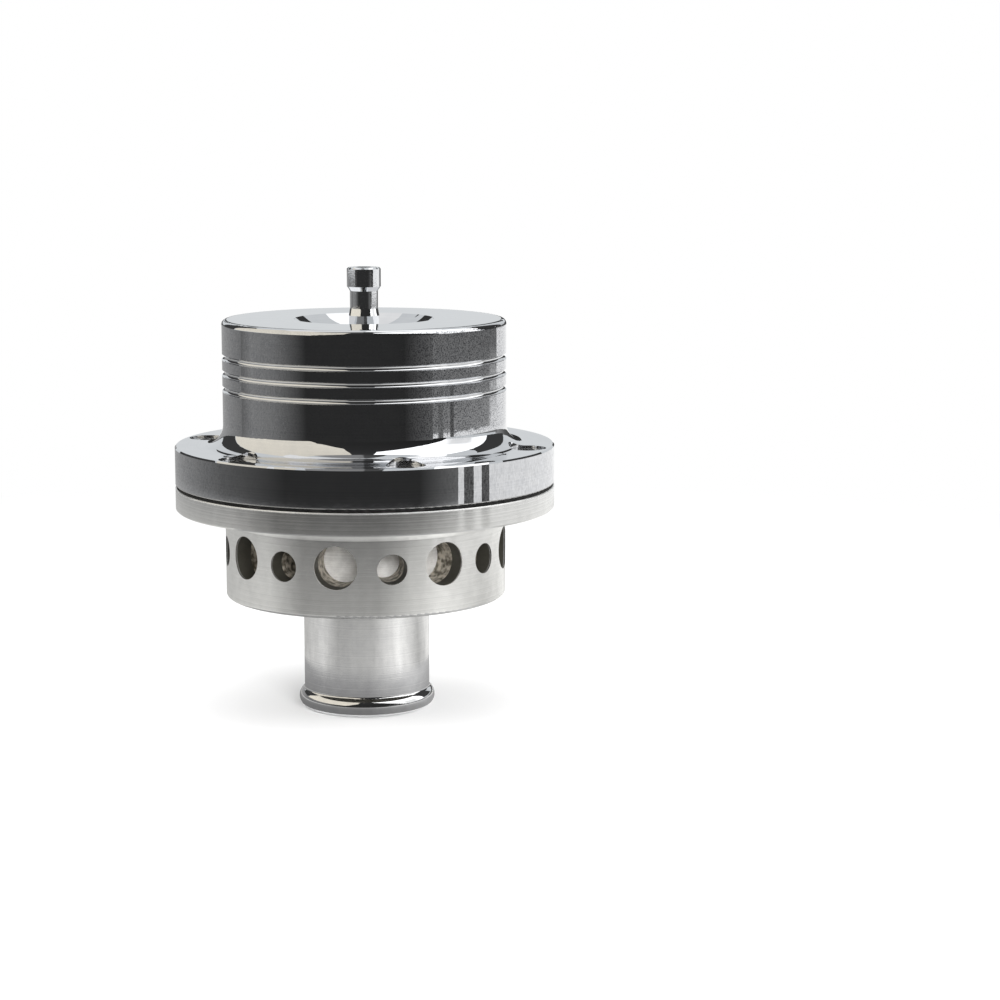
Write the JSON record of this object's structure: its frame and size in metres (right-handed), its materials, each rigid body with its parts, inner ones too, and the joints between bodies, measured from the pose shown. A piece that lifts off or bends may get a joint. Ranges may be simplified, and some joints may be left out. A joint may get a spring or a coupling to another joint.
{
  "type": "blow off valve",
  "caption": "Round diaphragm-operated blow off valve with polished cap, screwed flanges, vented drum, beaded inlet hose stub and a vacuum nipple; a sprung piston lifts to open the vents.",
  "frame": {"origin": "centre of the inlet stub's end face, on which the valve stands", "axes": "+Z along the valve's axis from the inlet stub to the vacuum nipple; a large vent faces each of +X, -X, +Y and -Y"},
  "size_m": [0.075, 0.075, 0.0878],
  "materials": {
    "polished_aluminium": "mirror polished",
    "chrome": "bright plated",
    "rubber": "matte black",
    "screw_steel": "plated steel",
    "spring_steel": "drawn wire",
    "plated_steel": "zinc plated",
    "piston_aluminium": "matte machined",
    "sleeve_bronze": "plain bearing bronze",
    "turned_aluminium": "satin turned",
    "stub_aluminium": "fine turned, polished bead"
  },
  "bodies": {
    "housing": {"upper_housing": "polished_aluminium", "vacuum_nipple": "chrome", "nipple_seal": "rubber", "flange_screws": "screw_steel", "diaphragm": "rubber", "spring": "spring_steel", "guide_sleeve": "sleeve_bronze", "lower_body": "turned_aluminium", "inlet_stub": "stub_aluminium"},
    "piston_stack": {"piston": "piston_aluminium", "face_seal": "rubber", "seal_retainer": "plated_steel", "centre_bolt": "plated_steel", "support_plate": "piston_aluminium", "spring_cup": "plated_steel", "lock_washer": "plated_steel", "lock_nut": "plated_steel"}
  },
  "joints": [
    {"name": "piston_lift", "type": "slide", "parent": "housing", "child": "piston_stack", "axis": [0, 0, 1], "range_m": [0, 0.008], "stiffness_N_per_m": 2000, "springref_m": -0.0075, "deforming": ["spring", "diaphragm"]}
  ]
}
